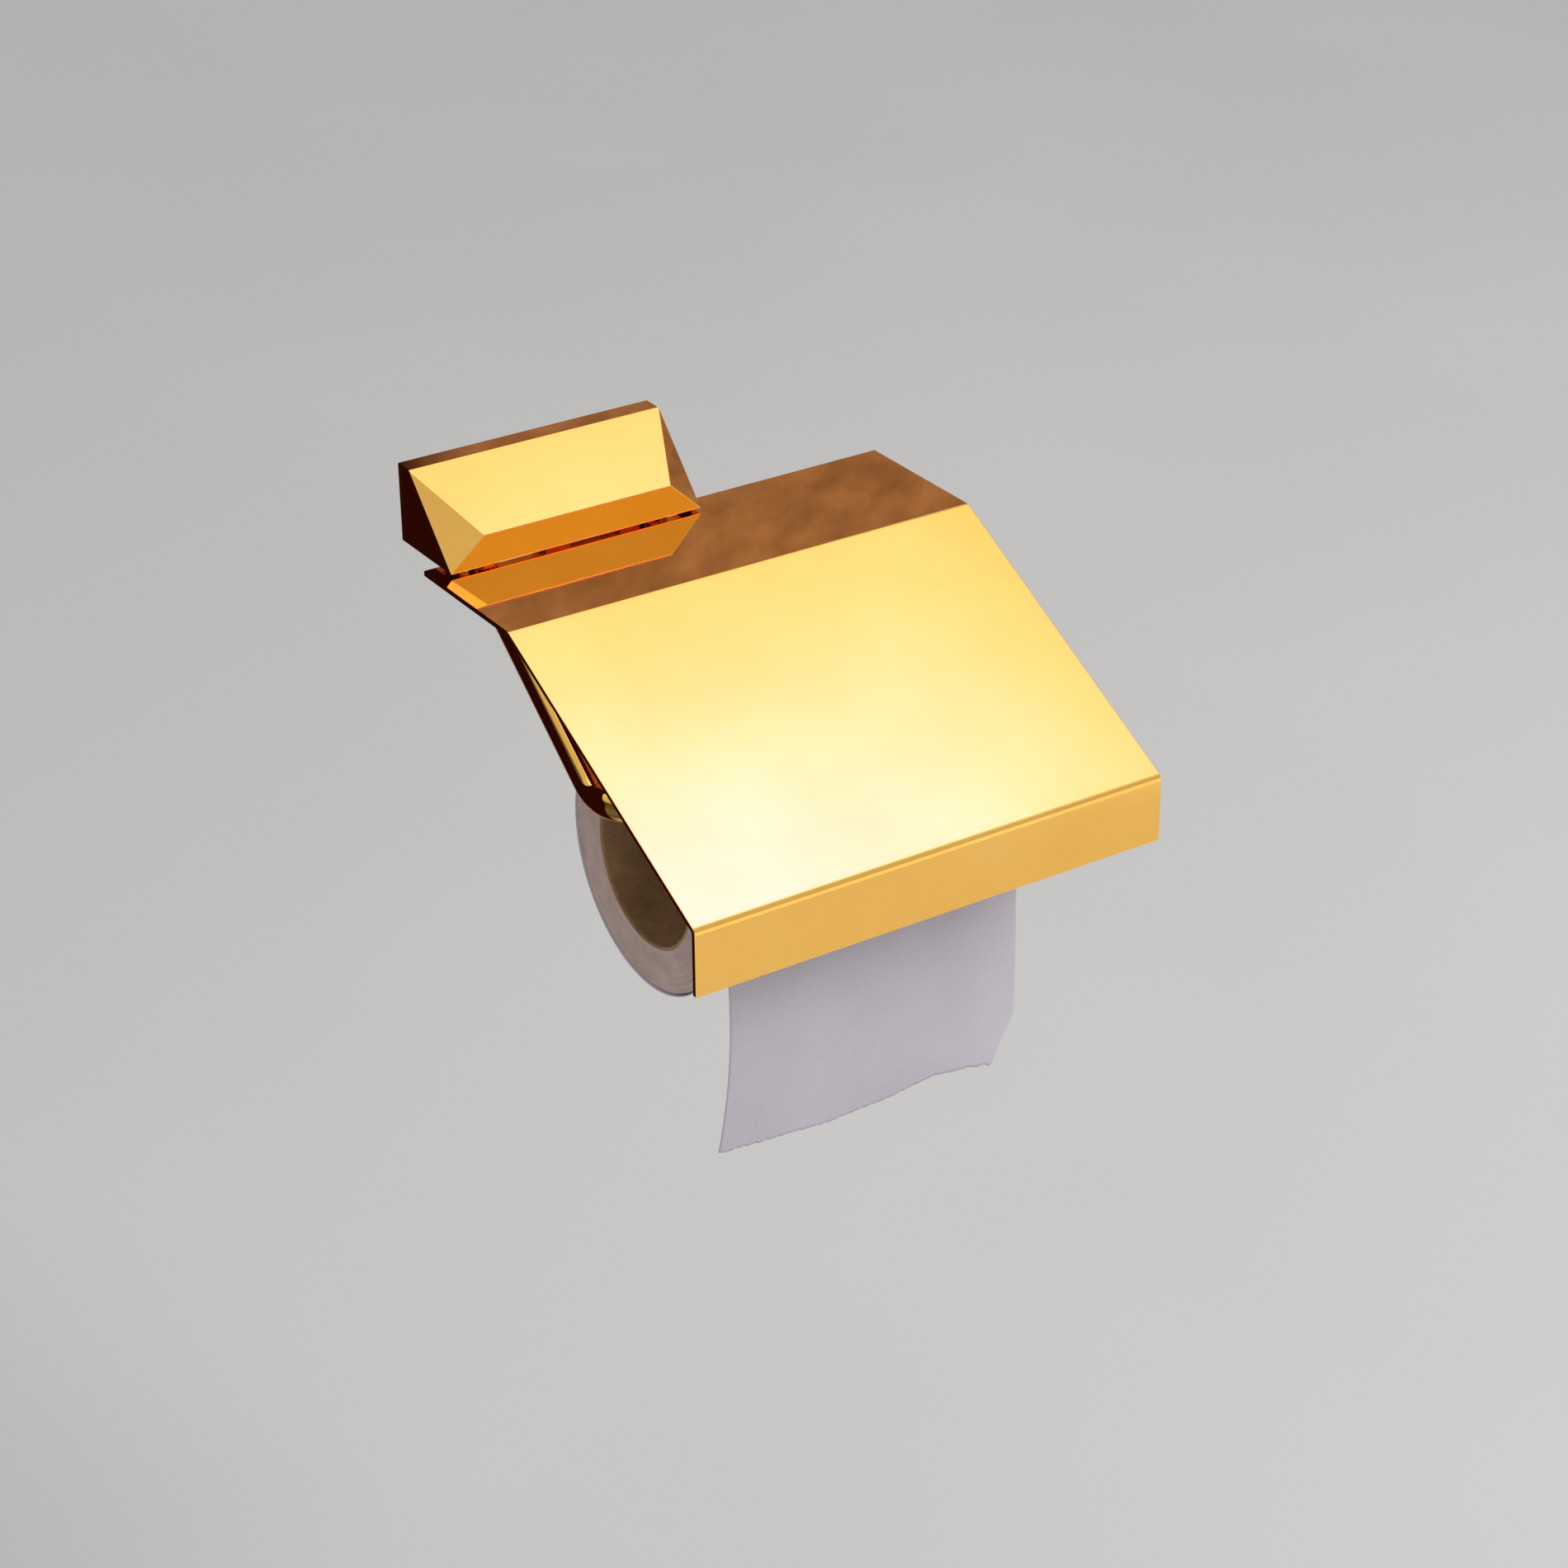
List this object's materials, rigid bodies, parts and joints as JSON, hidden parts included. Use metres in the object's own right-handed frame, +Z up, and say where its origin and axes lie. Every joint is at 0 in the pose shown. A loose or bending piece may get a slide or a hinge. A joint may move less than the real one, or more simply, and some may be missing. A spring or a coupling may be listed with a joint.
{
  "type": "toilet paper holder",
  "caption": "Wall-mounted toilet paper holder in polished gold, with a faceted base, a hinged bent-sheet lid and an open-ended arm that carries a paper roll.",
  "frame": {"origin": "on the wall, midway between the wall plate's two screw holes", "axes": "+Z up, +Y into the wall (the holder stands out towards -Y), +X towards the arm's free end"},
  "size_m": [0.15, 0.1579, 0.1701],
  "materials": {
    "gold_plated_brass": "polished",
    "zinc_plated_steel": "satin zinc plating",
    "screw_steel": "machined",
    "nylon": "matte",
    "buffer_rubber": "matte",
    "cardboard": "matte",
    "tissue_paper": "matte, lightly embossed"
  },
  "bodies": {
    "base": {"base_cover": "gold_plated_brass", "wall_plate": "zinc_plated_steel", "base_set_screws": "screw_steel", "paper_arm": "gold_plated_brass", "arm_end_button": "gold_plated_brass", "arm_washer": "screw_steel", "arm_nut": "screw_steel", "hinge_bracket": "gold_plated_brass", "bracket_screws": "screw_steel", "hinge_pin": "screw_steel", "pin_clips": "screw_steel", "hinge_washers": "nylon", "lid_buffers": "buffer_rubber"},
    "lid": {"lid_plate": "gold_plated_brass", "lid_hinge_leaf": "gold_plated_brass"},
    "loose_end": {"paper_tail": "tissue_paper"},
    "roll": {"roll_core": "cardboard", "paper_roll": "tissue_paper"}
  },
  "joints": [
    {"name": "lid_hinge", "type": "hinge", "parent": "base", "child": "lid", "pos_m": [0.011, -0.0304, -0.017], "axis": [-1, 0, 0], "range_deg": [0, 60]},
    {"name": "roll_slide", "type": "slide", "parent": "base", "child": "loose_end", "axis": [1, 0, 0], "range_m": [0, 0.115]},
    {"name": "roll_spin", "type": "hinge", "parent": "loose_end", "child": "roll", "pos_m": [0.0307, -0.089, -0.0816], "axis": [1, 0, 0], "continuous": true}
  ]
}
